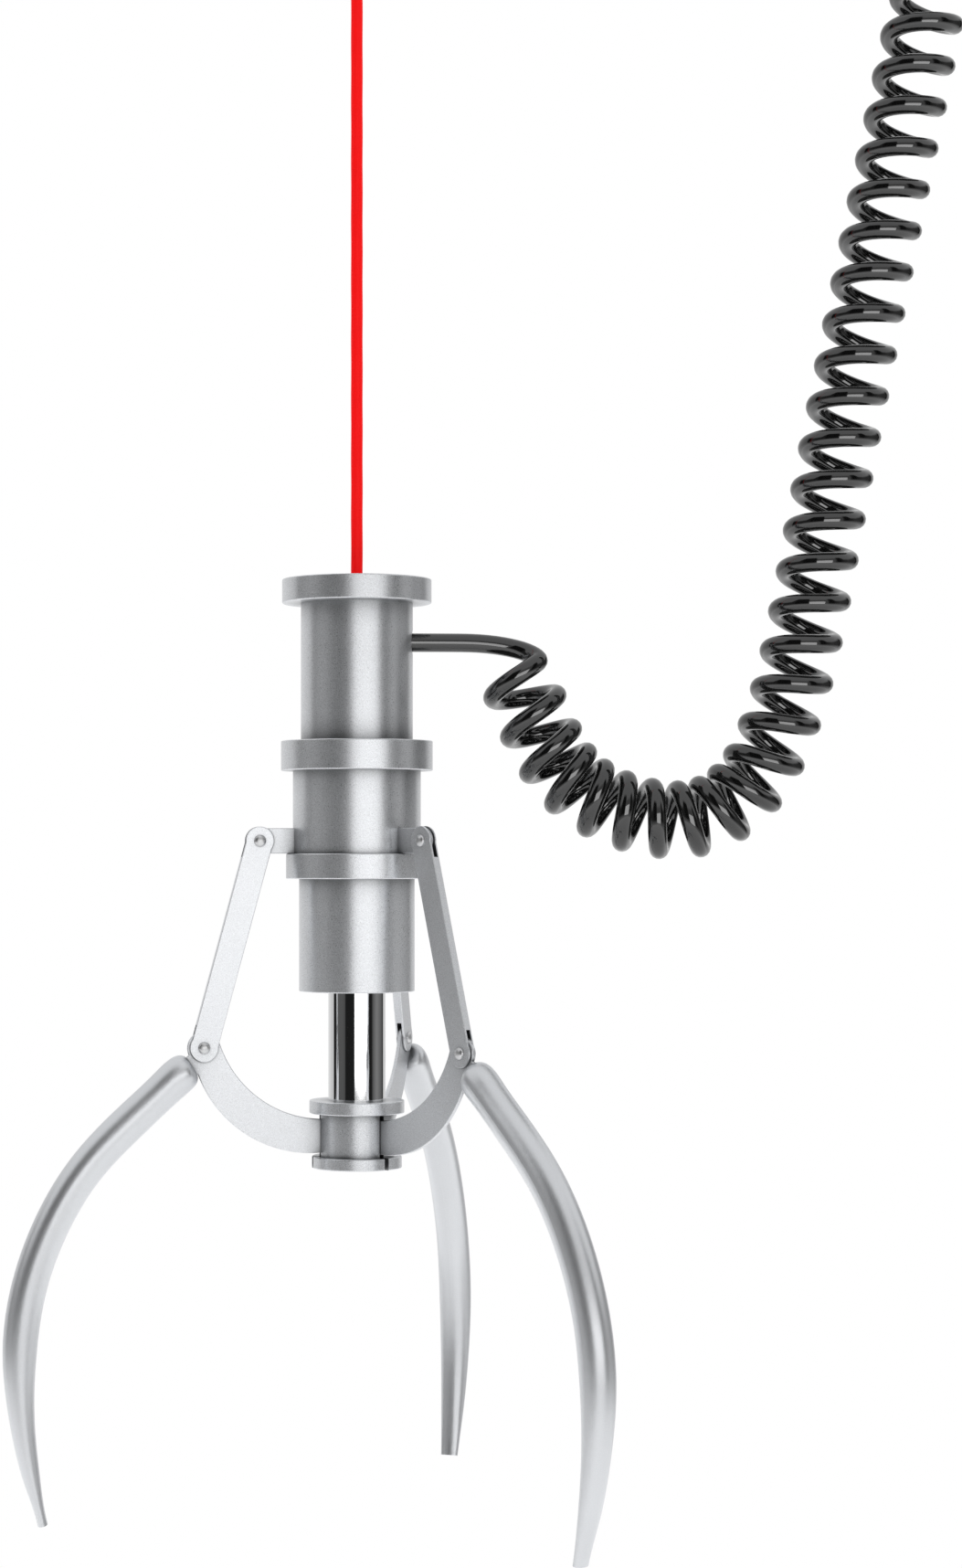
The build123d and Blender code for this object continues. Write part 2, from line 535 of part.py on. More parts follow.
NOTCH_ROOT = 8.0
PAD_TOP = HUB_PIVOT[1] - HUB_PIN_RADIUS
PAD_LENGTH = (HUB_PIN_LENGTH - SLOT_WIDTH) / 2 - 0.8
with BuildPart() as hub_cap:
    with BuildSketch(Plane.XY.offset(HUB_CAP_UNDER)):
        Circle(HUB_CAP_RADIUS)
    extrude(amount=HUB_CAP_THICK)
    fillet(hub_cap.edges(), EDGE)
    with BuildSketch(Plane.XY.offset(HUB_UNDER)):
        for azimuth in AZIMUTHS:
            with PolarLocations(0, 1, start_angle=azimuth):
                for side in (-1, 1):
                    with Locations((HUB_PIVOT[0], side * (SLOT_WIDTH / 2 + 0.4 + PAD_LENGTH / 2))):
                        Rectangle(2 * HUB_PIN_RADIUS - 0.2, PAD_LENGTH)
    extrude(amount=PAD_TOP - HUB_UNDER)
    with BuildSketch(Plane.XY.offset(HUB_CAP_UNDER)):
        for azimuth in AZIMUTHS:
            with PolarLocations((NOTCH_ROOT + HUB_CAP_RADIUS + 1) / 2, 1, start_angle=azimuth):
                Rectangle(HUB_CAP_RADIUS + 1 - NOTCH_ROOT, SLOT_WIDTH)
    extrude(amount=HUB_CAP_THICK, mode=Mode.SUBTRACT)
    with Locations(Plane.XY.offset(HUB_CAP_UNDER).rotated((180, 0, 0))):
        CounterBoreHole(HUB_BOLT_RADIUS + 0.1, HUB_BOLT_HEAD + 0.2, HUB_BOLT_SINK, HUB_CAP_THICK + 1)
        with PolarLocations(HUB_SCREW_CIRCLE, 3, start_angle=-SCREW_ANGLE):
            CounterBoreHole(HUB_SCREW_RADIUS + 0.1, HUB_SCREW_HEAD + 0.1, HUB_SCREW_SINK, HUB_CAP_THICK + 1)
save(hub_cap, "hub_cap")

with BuildPart() as hub_screws:
    with BuildSketch(Plane.XY.offset(HUB_CAP_UNDER + HUB_SCREW_SINK)):
        with PolarLocations(HUB_SCREW_CIRCLE, 3, start_angle=SCREW_ANGLE):
            Circle(HUB_SCREW_HEAD)
    extrude(amount=0.1 - HUB_SCREW_SINK)
    with BuildSketch(Plane.XY.offset(HUB_CAP_UNDER + HUB_SCREW_SINK)):
        with PolarLocations(HUB_SCREW_CIRCLE, 3, start_angle=SCREW_ANGLE):
            Circle(HUB_SCREW_RADIUS)
    extrude(amount=10)
    with BuildSketch(Plane.XY.offset(HUB_CAP_UNDER)):
        with PolarLocations(HUB_SCREW_CIRCLE, 3, start_angle=SCREW_ANGLE):
            RegularPolygon(1.1, 6)
    extrude(amount=1.2, mode=Mode.SUBTRACT)
save(hub_screws, "hub_screws")

with BuildPart() as hub_bolt:
    with BuildSketch(Plane.XY.offset(HUB_CAP_UNDER + HUB_BOLT_SINK)):
        Circle(HUB_BOLT_HEAD)
    extrude(amount=0.1 - HUB_BOLT_SINK)
    with BuildSketch(Plane.XY.offset(HUB_CAP_UNDER + HUB_BOLT_SINK)):
        Circle(HUB_BOLT_RADIUS)
    extrude(amount=HUB_LENGTH + 15)
    with BuildSketch(Plane.XY.offset(HUB_CAP_UNDER)):
        RegularPolygon(1.8, 6)
    extrude(amount=1.9, mode=Mode.SUBTRACT)
save(hub_bolt, "hub_bolt")

with BuildPart() as hub_pins:
    for azimuth in AZIMUTHS:
        with BuildSketch(side_plane(azimuth)):
            with Locations(HUB_PIVOT):
                Circle(HUB_PIN_RADIUS - 0.02)
        extrude(amount=HUB_PIN_LENGTH / 2 - 0.2, both=True)
save(hub_pins, "hub_pins")

# ---------------------------------------------------------------- links, arms and claws

LINK_SLOT = 8.8
LINK_MIDDLE = ((LINK_PIVOT[0] + ARM_PIVOT[0]) / 2, (LINK_PIVOT[1] + ARM_PIVOT[1]) / 2)
ARM_OUTER_CENTRE, ARM_OUTER = (20.0, -496.9), 53.6
ARM_INNER_CENTRE = (14.4, -486.9)
ARM_INNER = hypot(ARM_PIVOT[0] - ARM_INNER_CENTRE[0], ARM_PIVOT[1] - ARM_INNER_CENTRE[1]) - ARM_EYE
ARM_TAIL, ARM_FAR, ARM_BELOW = 9.8, 95.0, HUB_UNDER - 20
ARM_END_SLOPE = tan(-0.312)
TAIL_LOW_ROUND, TAIL_HIGH_ROUND = 6.0, 3.0
TONGUE_START, TONGUE_END, TONGUE_WIDTH = (70.0, -509.4), (84.5, -521.8), 9.0

CLAW_LINE = [
    (72.9, -511.8), (87.4, -524.2), (113.4, -548.9), (132.3, -576.8),
    (143.2, -605.5), (147.5, -640.0), (144.2, -678.0), (137.5, -708.0),
]
CLAW_START_WAY, CLAW_END_WAY = (0.84, -0.54), (-0.24, -0.97)
CLAW_STATIONS = [0.0, 0.004, 0.012, 0.026, 0.06, 0.15, 0.28, 0.42, 0.56, 0.66, 0.74, 0.82, 0.91, 1.0]
CLAW_ROOT_HALF, CLAW_WAIST_HALF, CLAW_SIDE_HALF = 8.1, 7.6, 7.6
CLAW_TIP_HALF, CLAW_TIP_SIDE = 2.2, 4.1
CLAW_TAPER_FROM = 0.64
CLAW_ROUNDING = 0.026


def claw_section(share):
    """The claw's half widths in its plane and across it, at a share of its length."""
    round_off = max(0.0, 1 - share / CLAW_ROUNDING)
    swell = 0.45 + 0.55 * (1 - round_off**2) ** 0.5
    if share < CLAW_TAPER_FROM:
        waist = share / CLAW_TAPER_FROM
        return swell * (CLAW_ROOT_HALF + (CLAW_WAIST_HALF - CLAW_ROOT_HALF) * waist), swell * CLAW_SIDE_HALF
    taper = (share - CLAW_TAPER_FROM) / (1 - CLAW_TAPER_FROM)
    in_plane = CLAW_WAIST_HALF + (CLAW_TIP_HALF - CLAW_WAIST_HALF) * taper**1.08
    return in_plane, CLAW_SIDE_HALF + (CLAW_TIP_SIDE - CLAW_SIDE_HALF) * taper**1.6


def in_link(along, across):
    """A point measured along the link from its middle, as (radius, height)."""
    return (
        LINK_MIDDLE[0] + along * cos(LINK_LEAN) - across * sin(LINK_LEAN),
        LINK_MIDDLE[1] + along * sin(LINK_LEAN) + across * cos(LINK_LEAN),
    )


for number, azimuth in enumerate(AZIMUTHS, 1):
    upright = side_plane(azimuth)

    with BuildPart() as link_arm:
        with BuildSketch(upright):
            with Locations(((ARM_ROOT + LINK_PIVOT[0]) / 2, LINK_PIVOT[1])):
                Rectangle(LINK_PIVOT[0] - ARM_ROOT, 2 * LINK_ARM_HALF)
            with Locations(LINK_PIVOT):
                Circle(LINK_ARM_HALF)
                Circle(RIVET_RADIUS + FIT, mode=Mode.SUBTRACT)
        extrude(amount=PLATE / 2, both=True)
    save(link_arm, f"link_arm_{number}")

    with BuildPart() as link_bar:
        with BuildSketch(upright):
            with Locations(LINK_MIDDLE):
                Rectangle(LINK_LENGTH, LINK_WIDTH, rotation=degrees(LINK_LEAN))
            with Locations(LINK_PIVOT, ARM_PIVOT):
                Circle(LINK_HEAD)
        extrude(amount=LINK_THICK / 2, both=True)
        chamfer(link_bar.faces().filter_by(upright).edges(), 0.25)
        with BuildSketch(upright):
            for end in (-1, 1):
                with Locations(in_link(end * (LINK_LENGTH / 2 - LINK_SLOT + 10), 0)):
                    Rectangle(20, 2 * LINK_HEAD + 2, rotation=degrees(LINK_LEAN))
        extrude(amount=PLATE / 2 + SIDE_PLAY, both=True, mode=Mode.SUBTRACT)
        with BuildSketch(upright):
            with Locations(LINK_PIVOT, ARM_PIVOT):
                Circle(RIVET_RADIUS + 0.02)
        extrude(amount=LINK_THICK, both=True, mode=Mode.SUBTRACT)
    save(link_bar, f"link_bar_{number}")

    with BuildPart() as link_rivets:
        with BuildSketch(upright):
            with Locations(LINK_PIVOT, ARM_PIVOT):
                Circle(RIVET_RADIUS)
        extrude(amount=LINK_THICK / 2 + 0.2, both=True)
        for side in (-1, 1):
            with BuildSketch(upright.offset(side * LINK_THICK / 2)):
                with Locations(LINK_PIVOT, ARM_PIVOT):
                    Circle(RIVET_HEAD_RADIUS)
            extrude(amount=side * RIVET_HEAD)
        domes = link_rivets.edges().filter_by(GeomType.CIRCLE)
        domes = domes.filter_by(lambda edge: edge.radius > RIVET_RADIUS + 0.1)
        outermost = LINK_THICK / 2 + RIVET_HEAD - 0.01
        fillet([e for e in domes if abs(upright.to_local_coords(e.center()).Z) > outermost], 1.2)
    save(link_rivets, f"link_rivets_{number}")

    with BuildPart() as arm_plate:
        with BuildSketch(upright) as arm_outline:
            with Locations(ARM_OUTER_CENTRE):
                Circle(ARM_OUTER)
            with Locations(ARM_INNER_CENTRE):
                Circle(ARM_INNER, mode=Mode.SUBTRACT)
            with BuildLine():
                Polyline(
                    (ARM_TAIL, ARM_BELOW), (ARM_FAR, ARM_BELOW),
                    (ARM_FAR, ARM_PIVOT[1] + (ARM_FAR - ARM_PIVOT[0]) * ARM_END_SLOPE), ARM_PIVOT,
                    ARM_INNER_CENTRE, (ARM_TAIL, ARM_INNER_CENTRE[1]), close=True,
                )
            make_face(mode=Mode.INTERSECT)
            with Locations(ARM_PIVOT):
                Circle(ARM_EYE)
            with BuildLine():
                tongue = Line(TONGUE_START, TONGUE_END)
            trace(tongue, TONGUE_WIDTH)
            fillet(arm_outline.vertices().group_by(Axis.X)[0].sort_by(Axis.Z)[0], TAIL_LOW_ROUND)
            fillet(arm_outline.vertices().group_by(Axis.X)[0].sort_by(Axis.Z)[-1], TAIL_HIGH_ROUND)
            with Locations(((PIN_LEFT + PIN_RIGHT) / 2, (PIN_LOW + PIN_HIGH) / 2)):
                SlotCenterToCenter(
                    PIN_RIGHT - PIN_LEFT, PIN_HIGH - PIN_LOW + 2 * HUB_PIN_RADIUS + 0.2,
                    mode=Mode.SUBTRACT,
                )
            with Locations(ARM_PIVOT):
                Circle(RIVET_RADIUS + FIT, mode=Mode.SUBTRACT)
        extrude(amount=PLATE / 2, both=True)
    save(arm_plate, f"arm_plate_{number}")

    with BuildPart() as claw:
        with BuildLine(upright) as claw_line:
            Spline(*CLAW_LINE, tangents=(CLAW_START_WAY, CLAW_END_WAY))
        for station in CLAW_STATIONS:
            spot = claw_line.line @ station
            heading = claw_line.line % station
            with BuildSketch(Plane(origin=spot, x_dir=upright.z_dir, z_dir=heading)):
                in_plane, across = claw_section(station)
                Ellipse(across, in_plane)
        loft()
        add(arm_plate.part, mode=Mode.SUBTRACT)
    save(claw, f"claw_{number}")

# ---------------------------------------------------------------- hose and its fittings

SOCKET_FACE, SOCKET_BACK, HOSE_STOP = 23.8, 14.0, 17.0
with BuildPart() as hose_socket:
    with BuildSketch(Plane.YZ.offset(SOCKET_BACK)):
        with Locations((0, PORT_HEIGHT)):
            Circle(SOCKET_RADIUS)
            Circle(HOSE_BORE, mode=Mode.SUBTRACT)
    extrude(amount=SOCKET_FACE - SOCKET_BACK)
    with BuildSketch(Plane.YZ.offset(HOSE_STOP)):
        with Locations((0, PORT_HEIGHT)):
            Circle(HOSE_RADIUS + FIT)
    extrude(amount=SOCKET_FACE - HOSE_STOP, mode=Mode.SUBTRACT)
    with BuildSketch(Plane.YZ.offset(SOCKET_BACK)):
        with Locations((0, PORT_HEIGHT)):
            Circle(SOCKET_COLLAR)
            Circle(SOCKET_RADIUS, mode=Mode.SUBTRACT)
    extrude(amount=3)
save(hose_socket, "hose_socket")

# Routes run from the socket to the nipple; the coil's is the middle line of its turns
LEAD_ROUTE = [(17.0, 0, -327.5), (36.0, 0, -327.5), (56.0, 0, -327.7), (72.0, 0, -330.5), (78.0, 0, -343.0)]
COIL_ROUTE = [
    (69.0, 0, -339.5), (79.5, 0, -367.5), (95.5, 0, -391.5), (121.0, 0, -403.8),
    (149.5, 0, -406.2), (172.0, 0, -392.0), (187.0, 0, -361.0), (197.5, 0, -317.0),
    (207.0, 0, -262.0), (220.0, 0, -195.0), (235.0, 0, -120.0), (246.5, 0, -64.0), (252.5, 0, -34.0),
]
TAIL_ROUTE = [(251.0, 0, -40.0), (255.0, 0, -25.0), (255.0, 0, -9.0)]


def bend_radii(points, name):
    """One radius for each corner of a route, as large as its two runs allow."""
    radii = []
    for before, corner, after in zip(points, points[1:], points[2:]):
        run_in, run_out = Vector(*corner) - Vector(*before), Vector(*after) - Vector(*corner)
        half_turn = radians(run_in.get_angle(run_out)) / 2
        radii.append(0.45 * min(run_in.length, run_out.length) / tan(half_turn))
    print(name, "bend radii", [round(radius, 1) for radius in radii])
    return radii


def hose_piece(points, radius, name):
    """A plain tube along a route of straight runs joined by tangent arcs."""
    with BuildPart() as piece:
        with BuildLine() as path:
            FilletPolyline(*points, radius=bend_radii(points, name))
        route = path.wires()[0]
        with BuildSketch(Plane(origin=route @ 0, z_dir=route % 0)):
            Circle(radius)
        sweep(path=route)
    expected = pi * radius**2 * route.length
    print(f"{name}: length {route.length:.1f}, volume share {piece.part.volume / expected:.4f}")
    save(piece, name)
    return piece


hose_piece(LEAD_ROUTE, HOSE_RADIUS, "hose_lead")
hose_piece(COIL_ROUTE, COIL_RADIUS, "hose_coil")
hose_piece(TAIL_ROUTE, HOSE_RADIUS, "hose_tail")

NIPPLE_X = TAIL_ROUTE[-1][0]
HOSE_END = TAIL_ROUTE[-1][2]
THREAD_RADIUS, THREAD_LENGTH = 6.6, 11.0
NIPPLE_APOTHEM, NIPPLE_HEX, NIPPLE_GAP = 8.5, 6.0, 0.5
END_FERRULE_RADIUS, END_FERRULE_LENGTH = 6.4, 10.5

with BuildPart() as hose_nipple:
    with BuildSketch(Plane.XY.offset(HOSE_END + NIPPLE_GAP)):
        with Locations((NIPPLE_X, 0)):
            RegularPolygon(NIPPLE_APOTHEM, 6, major_radius=False)
    extrude(amount=NIPPLE_HEX)
    with BuildSketch(Plane.XY.offset(HOSE_END + NIPPLE_GAP + NIPPLE_HEX)):
        with Locations((NIPPLE_X, 0)):
            Circle(THREAD_RADIUS)
    extrude(amount=THREAD_LENGTH)
    chamfer(hose_nipple.edges().group_by(Axis.Z)[-1], 0.8)
    with BuildSketch(Plane.XY.offset(HOSE_END + NIPPLE_GAP)):
        with Locations((NIPPLE_X, 0)):
            Circle(HOSE_BORE)
    extrude(amount=NIPPLE_HEX + THREAD_LENGTH + 1, mode=Mode.SUBTRACT)
save(hose_nipple, "hose_nipple")

with BuildPart() as hose_ferrule:
    with BuildSketch(Plane.XY.offset(HOSE_END + NIPPLE_GAP - END_FERRULE_LENGTH)):
        with Locations((NIPPLE_X, 0)):
            Circle(END_FERRULE_RADIUS)
    extrude(amount=END_FERRULE_LENGTH)
    fillet(hose_ferrule.edges().group_by(Axis.Z)[0], 1.2)
    with BuildSketch(Plane.XY.offset(HOSE_END + NIPPLE_GAP - END_FERRULE_LENGTH)):
        with Locations((NIPPLE_X, 0)):
            Circle(HOSE_RADIUS + FIT)
    extrude(amount=END_FERRULE_LENGTH, mode=Mode.SUBTRACT)
save(hose_ferrule, "hose_ferrule")
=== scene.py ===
"""Looks for the pneumatic claw gripper: camera, studio, cords, small detail and materials."""

import json
import math

import bmesh
import bpy
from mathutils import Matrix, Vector


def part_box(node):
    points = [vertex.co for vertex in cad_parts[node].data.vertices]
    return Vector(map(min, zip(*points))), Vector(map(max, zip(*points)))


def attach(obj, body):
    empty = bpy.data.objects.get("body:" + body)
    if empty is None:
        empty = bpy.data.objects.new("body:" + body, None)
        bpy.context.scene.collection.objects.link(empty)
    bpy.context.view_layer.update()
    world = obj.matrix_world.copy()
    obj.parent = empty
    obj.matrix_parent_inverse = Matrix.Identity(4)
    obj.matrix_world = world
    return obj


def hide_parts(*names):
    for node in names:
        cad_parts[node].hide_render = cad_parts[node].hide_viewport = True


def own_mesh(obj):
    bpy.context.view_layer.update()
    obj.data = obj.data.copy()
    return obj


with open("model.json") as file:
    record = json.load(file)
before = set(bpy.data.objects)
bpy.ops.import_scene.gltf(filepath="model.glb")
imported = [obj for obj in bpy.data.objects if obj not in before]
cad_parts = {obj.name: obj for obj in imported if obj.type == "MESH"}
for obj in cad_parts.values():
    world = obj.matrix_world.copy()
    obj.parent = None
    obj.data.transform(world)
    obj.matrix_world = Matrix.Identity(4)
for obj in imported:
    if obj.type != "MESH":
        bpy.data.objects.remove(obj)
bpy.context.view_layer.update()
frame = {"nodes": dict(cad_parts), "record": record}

MM = 0.001
SUBPARTS = frame["record"]["subparts"]

# ---------------------------------------------------------------- camera

CAMERA_AT = (0.0, -1.3712, -0.421)
CAMERA_LENS = 71.92
CAMERA_SHIFT = (0.0792, 0.0461)
CAMERA_CLIP = (0.05, 60)


def make_camera():
    """A level camera in front of the gripper, looking along +Y."""
    data = bpy.data.cameras.new("camera")
    data.lens = CAMERA_LENS
    data.shift_x, data.shift_y = CAMERA_SHIFT
    data.clip_start, data.clip_end = CAMERA_CLIP
    camera = bpy.data.objects.new("camera", data)
    camera.location = CAMERA_AT
    camera.rotation_euler = (math.pi / 2, 0, 0)
    bpy.context.scene.camera = link(camera)


# ---------------------------------------------------------------- mesh helpers

CORD_ROUNDNESS = 6
ROUTE_SMOOTHNESS = 24


def link(piece):
    """Put an object in the scene."""
    bpy.context.scene.collection.objects.link(piece)
    return piece


def mesh_piece(name, build, smooth=True):
    """A mesh object made by a function that fills a bmesh."""
    shape = bmesh.new()
    build(shape)
    bmesh.ops.recalc_face_normals(shape, faces=shape.faces)
    data = bpy.data.meshes.new(name)
    shape.to_mesh(data)
    shape.free()
    for face in data.polygons:
        face.use_smooth = smooth
    return link(bpy.data.objects.new(name, data))


def close_tube(shape, loops):
    """Join rings of points into a closed skin with a face at each end."""
    for first, second in zip(loops, loops[1:]):
        for side in range(len(first)):
            after = (side + 1) % len(first)
            shape.faces.new((first[side], first[after], second[after], second[side]))
    shape.faces.new(loops[0])
    shape.faces.new(loops[-1])


def route_curve(name, points, smoothness, radius=0.0):
    """A smooth line steered by points in metres; with a radius it is a round cord."""
    data = bpy.data.curves.new(name, "CURVE")
    data.dimensions = "3D"
    data.resolution_u = smoothness
    # Blender multiplies this depth by each point's own radius, and also adds that radius to the curve's box
    data.bevel_depth = 1.0 if radius else 0.0
    data.bevel_resolution = CORD_ROUNDNESS
    data.use_fill_caps = True
    spline = data.splines.new("NURBS")
    spline.points.add(len(points) - 1)
    for place, point in zip(spline.points, points):
        place.co = (*point, 1)
        place.radius = radius
    spline.order_u = 3
    spline.use_endpoint_u = True
    return bpy.data.objects.new(name, data)


def route_line(points):
    """The points that a route's smooth line passes through, as vectors."""
    curve = route_curve("route", points, ROUTE_SMOOTHNESS)
    line = bpy.data.meshes.new_from_object(curve)
    places = [vertex.co.copy() for vertex in line.vertices]
    bpy.data.objects.remove(curve)
    bpy.data.meshes.remove(line)
    return places


def in_metres(points):
    """Route points in millimetres, as tuples in metres."""
    return [tuple(value * MM for value in point) for point in points]


# ---------------------------------------------------------------- air hose

HOSE_RADIUS = 0.0041
HOSE_SMOOTHNESS = 5
TURN_RADIUS = 0.0134
TURN_POINTS = 14
START_TURN = 0.08
END_TURN = 29.7
UNWIND_TURNS = 0.75
UNWOUND_SHARE = 0.2

# Distance travelled along the coil's middle line and the pitch of the turns there
PITCH_ALONG = [
    (0.0, 0.0190), (0.030, 0.0170), (0.046, 0.0140), (0.085, 0.0142), (0.140, 0.0144),
    (0.160, 0.0178), (0.300, 0.0184), (0.510, 0.0184),
]

LEAD_ROUTE = in_metres([(17.0, 0, -327.5), (36.0, 0, -327.5), (56.0, 0, -327.7), (72.0, 0, -330.5)])
COIL_ROUTE = in_metres([
    (69.0, 0, -339.5), (79.5, 0, -367.5), (95.5, 0, -391.5), (121.0, 0, -403.8),
    (149.5, 0, -406.2), (172.0, 0, -392.0), (187.0, 0, -361.0), (197.5, 0, -317.0),
    (207.0, 0, -262.0), (220.0, 0, -195.0), (235.0, 0, -120.0), (246.5, 0, -64.0), (252.5, 0, -34.0),
])
TAIL_ROUTE = in_metres([(251.0, 0, -40.0), (255.0, 0, -25.0), (255.0, 0, -9.0)])


def between(stations, where):
    """The value at a place in a list of (place, value) stations."""
    for (start, low), (end, high) in zip(stations, stations[1:]):
        if where <= end:
            return low + (high - low) * (where - start) / (end - start)
    return stations[-1][1]


def coil_points():
    """Points of the hose's turns, wound round the coil's middle line."""
    line = route_line(COIL_ROUTE)
    # The smooth curve cuts inside the corners of its points, so they stand a little further out
    swell = 1 / math.cos(math.pi / TURN_POINTS)
    points = []
    travelled, spent, turn, index = 0.0, 0.0, START_TURN, 0
    while turn < END_TURN and index < len(line) - 2:
        while index < len(line) - 2 and travelled + (line[index + 1] - line[index]).length < spent:
            travelled += (line[index + 1] - line[index]).length
            index += 1
        way = (line[index + 1] - line[index]).normalized()
        middle = line[index] + way * (spent - travelled)
        inward = Vector((-way.z, 0, way.x))
        left = min(1.0, (END_TURN - turn) / UNWIND_TURNS)
        radius = TURN_RADIUS * swell * (UNWOUND_SHARE + (1 - UNWOUND_SHARE) * left)
        angle = 2 * math.pi * turn
        points.append(middle + radius * (math.cos(angle) * inward + math.sin(angle) * Vector((0, -1, 0))))
        turn += 1 / TURN_POINTS
        spent += between(PITCH_ALONG, spent) / TURN_POINTS
    return points


def make_hose():
    """The spiral air hose, from its socket in the barrel to the fitting above."""
    points = LEAD_ROUTE + coil_points() + TAIL_ROUTE[1:]
    hose = link(route_curve("air_hose", points, HOSE_SMOOTHNESS, HOSE_RADIUS))
    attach(hose, "root")
    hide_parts("hose_lead", "hose_coil", "hose_tail")
    return hose


# ---------------------------------------------------------------- hoist rope

ROPE_RADIUS = 0.0026
ROPE_STRANDS = 7
ROPE_LAY = 0.026
ROPE_RELIEF = 0.035
ROPE_RINGS, ROPE_SIDES = 560, 28


def make_rope():
    """The coated hoist rope, its strands showing faintly through the coat."""
    low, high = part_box("hoist_rope")

    def build(shape):
        loops = []
        for step in range(ROPE_RINGS + 1):
            height = low.z + (high.z - low.z) * step / ROPE_RINGS
            loop = []
            for side in range(ROPE_SIDES):
                angle = 2 * math.pi * side / ROPE_SIDES
                lobe = math.cos(ROPE_STRANDS * angle - 2 * math.pi * height / ROPE_LAY)
                radius = ROPE_RADIUS * (1 - ROPE_RELIEF * (0.5 - 0.5 * lobe))
                loop.append(shape.verts.new((radius * math.cos(angle), radius * math.sin(angle), height)))
            loops.append(loop)
        close_tube(shape, loops)

    rope = mesh_piece("coated_rope", build)
    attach(rope, "root")
    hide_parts("hoist_rope")
    return rope


# ---------------------------------------------------------------- plates and rivets

JOINTS = {joint["name"]: joint for joint in frame["record"]["behaviour"]["joints"]}
FINGERS = (1, 2, 3)
PLATE_CHAMFER = 0.0003
SAME_WAY = 0.999
WELD_DISTANCE = 0.00001
RIVET_SHANK, RIVET_HEAD_RADIUS, RIVET_DOME = 0.0015, 0.0026, 0.00125
RIVET_RIM, RIVET_SINK = 0.00015, 0.0001
RIVET_SIDES, DOME_STEPS, DOME_TIP = 40, 10, 0.01


def outer_outline(node, across):
    """The outer edge of a flat CAD plate's face, as points in order; holes are left out."""
    shape = bmesh.new()
    shape.from_mesh(frame["nodes"][node].data)
    bmesh.ops.remove_doubles(shape, verts=shape.verts, dist=WELD_DISTANCE)
    front = {face for face in shape.faces if face.normal.dot(across) > SAME_WAY}
    rim = [edge for edge in shape.edges if len(front.intersection(edge.link_faces)) == 1]
    beside = {}
    for edge in rim:
        for here, there in (edge.verts, reversed(edge.verts)):
            beside.setdefault(here, []).append(there)
    outlines = []
    while beside:
        here = next(iter(beside))
        outline = []
        while here is not None:
            outline.append(here.co.copy())
            ways = beside.pop(here)
            here = next((there for there in ways if there in beside), None)
        outlines.append(outline)
    shape.free()
    return max(outlines, key=lambda outline: max((point - outline[0]).length for point in outline))


def pulled_in(outline, across, distance):
    """An outline moved inward, within its own plane."""
    befores, afters = outline[-1:] + outline[:-1], outline[1:] + outline[:1]
    doubled_area = sum(here.cross(after).dot(across) for here, after in zip(outline, afters))
    turn = 1 if doubled_area > 0 else -1
    moved = []
    for before, here, after in zip(befores, outline, afters):
        way_in = turn * across.cross((here - before).normalized() + (after - here).normalized())
        moved.append(here + way_in.normalized() * distance)
    return moved


def make_plate(name, node, body, across):
    """A chamfered plate with the CAD plate's outline and thickness, but no hole for its pin."""
    outline = outer_outline(node, across)
    depths = [vertex.co.dot(across) for vertex in frame["nodes"][node].data.vertices]
    thick = max(depths) - min(depths)
    inset = pulled_in(outline, across, PLATE_CHAMFER)

    def build(shape):
        layers = [(inset, 0.0), (outline, PLATE_CHAMFER), (outline, thick - PLATE_CHAMFER), (inset, thick)]
        loops = [[shape.verts.new(point - across * depth) for point in points] for points, depth in layers]
        close_tube(shape, loops)

    plate = mesh_piece(name, build, smooth=False)
    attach(plate, body)
    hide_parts(node)
    return plate


def turned_rings(shape, profile, centre, axis, around):
    """Rings of points for a turned piece: (distance along the axis, radius) spun about the axis."""
    side = axis.orthogonal().normalized()
    other = axis.cross(side)
    rings = []
    for along, radius in profile:
        ring = []
        for step in range(around):
            angle = 2 * math.pi * step / around
            spoke = side * math.cos(angle) + other * math.sin(angle)
            ring.append(shape.verts.new(centre + axis * along + spoke * radius))
        rings.append(ring)
    return rings


def rivet_profile(half_thick):
    """A shank with a domed head on each side, from one end to the other."""
    upper = [(half_thick - RIVET_SINK, RIVET_SHANK), (half_thick, RIVET_HEAD_RADIUS)]
    for step in range(DOME_STEPS + 1):
        rise = math.radians(90 * step / DOME_STEPS)
        along = half_thick + RIVET_RIM + RIVET_DOME * math.sin(rise)
        upper.append((along, RIVET_HEAD_RADIUS * max(DOME_TIP, math.cos(rise))))
    return [(-along, radius) for along, radius in reversed(upper)] + upper


def make_rivets(finger):
    """The two domed rivets of one side link."""
    upper = JOINTS[f"link_swing_{finger}"]
    lower = JOINTS[f"finger_swing_{finger}"]
    axis = Vector(upper["axis"]).normalized()
    depths = [vertex.co.dot(axis) for vertex in frame["nodes"][f"link_bar_{finger}"].data.vertices]
    profile = rivet_profile(max(depths))

    def build(shape):
        for joint in (upper, lower):
            close_tube(shape, turned_rings(shape, profile, Vector(joint["pos_m"]), axis, RIVET_SIDES))

    rivets = mesh_piece(f"domed_rivets_{finger}", build)
    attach(rivets, f"side_link_{finger}")
    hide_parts(f"link_rivets_{finger}")
    return rivets


# ---------------------------------------------------------------- return spring

SPRING_WIRE = 0.00125
SPRING_TURNS = 5.5
SPRING_STEPS, SPRING_SIDES = 26, 12


